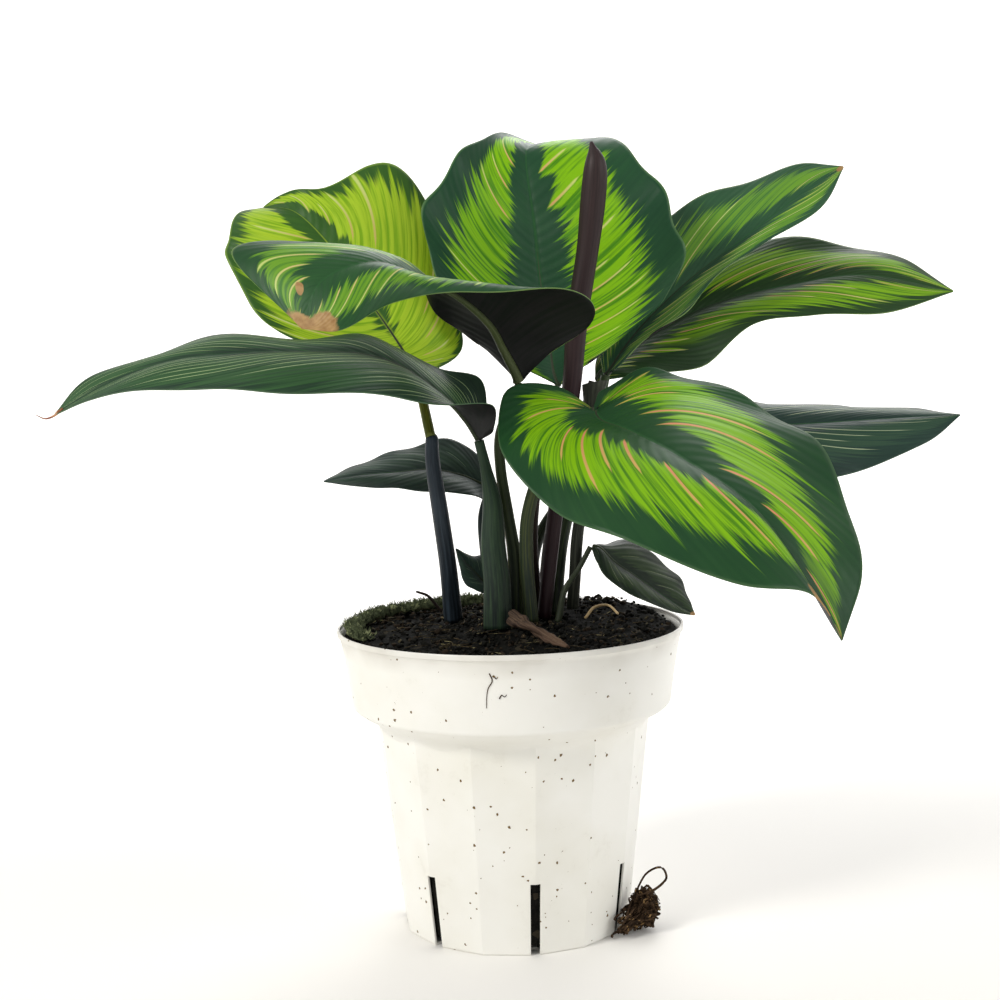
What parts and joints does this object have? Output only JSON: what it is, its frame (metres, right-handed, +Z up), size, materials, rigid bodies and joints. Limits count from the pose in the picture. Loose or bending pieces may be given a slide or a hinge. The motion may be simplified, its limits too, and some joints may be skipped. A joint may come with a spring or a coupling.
{
  "type": "potted prayer plant",
  "caption": "Prayer plant with striped broad leaves on sheathed stems, growing in soil in a slotted white nursery pot.",
  "frame": {"origin": "centre of the pot's flat underside", "axes": "+Z up along the pot's axis, -Y towards the viewer, +X to the viewer's right"},
  "size_m": [0.316, 0.1826, 0.2786],
  "materials": {
    "white_polypropylene": "moulded white polypropylene, semi-gloss, a little dirty",
    "peat_soil": "damp dark peat, crumbly",
    "moss": "short grey-green moss",
    "roots": "fine brown roots",
    "green_leaf": "satin leaf, dark green with lime and pink feathering",
    "lime_leaf": "satin young leaf, yellow green",
    "dark_leaf": "satin leaf, dark green with pale veins",
    "green_stem": "smooth green stem",
    "lime_stem": "smooth yellow-green petiole",
    "purple_stem": "smooth purple-brown stem",
    "dry_sheath": "dry papery sheath"
  },
  "bodies": {
    "root": {"nursery_pot": "white_polypropylene", "potting_soil": "peat_soil", "rim_moss": "moss", "root_clump": "roots", "front_leaf": "green_leaf", "round_leaf": "green_leaf", "curled_leaf": "green_leaf", "long_leaf": "green_leaf", "upper_right_leaf": "green_leaf", "middle_right_leaf": "green_leaf", "lime_leaf": "lime_leaf", "lower_right_leaf": "dark_leaf", "lower_left_leaf": "dark_leaf", "rim_leaf": "dark_leaf", "base_leaflet": "dark_leaf", "lime_leaf_sheath": "purple_stem", "lime_leaf_petiole": "lime_stem", "long_leaf_stem": "green_stem", "curled_leaf_stem": "green_stem", "lower_left_leaf_stem": "green_stem", "front_leaf_stem": "green_stem", "round_leaf_stem": "purple_stem", "rolled_new_leaf": "purple_stem", "upper_right_leaf_stem": "green_stem", "middle_right_leaf_stem": "purple_stem", "lower_right_leaf_stem": "green_stem", "rim_leaf_stem": "purple_stem", "curled_sheath": "dry_sheath", "dry_sheath": "dry_sheath", "pale_twig": "dry_sheath", "dark_twig": "purple_stem"}
  },
  "joints": []
}
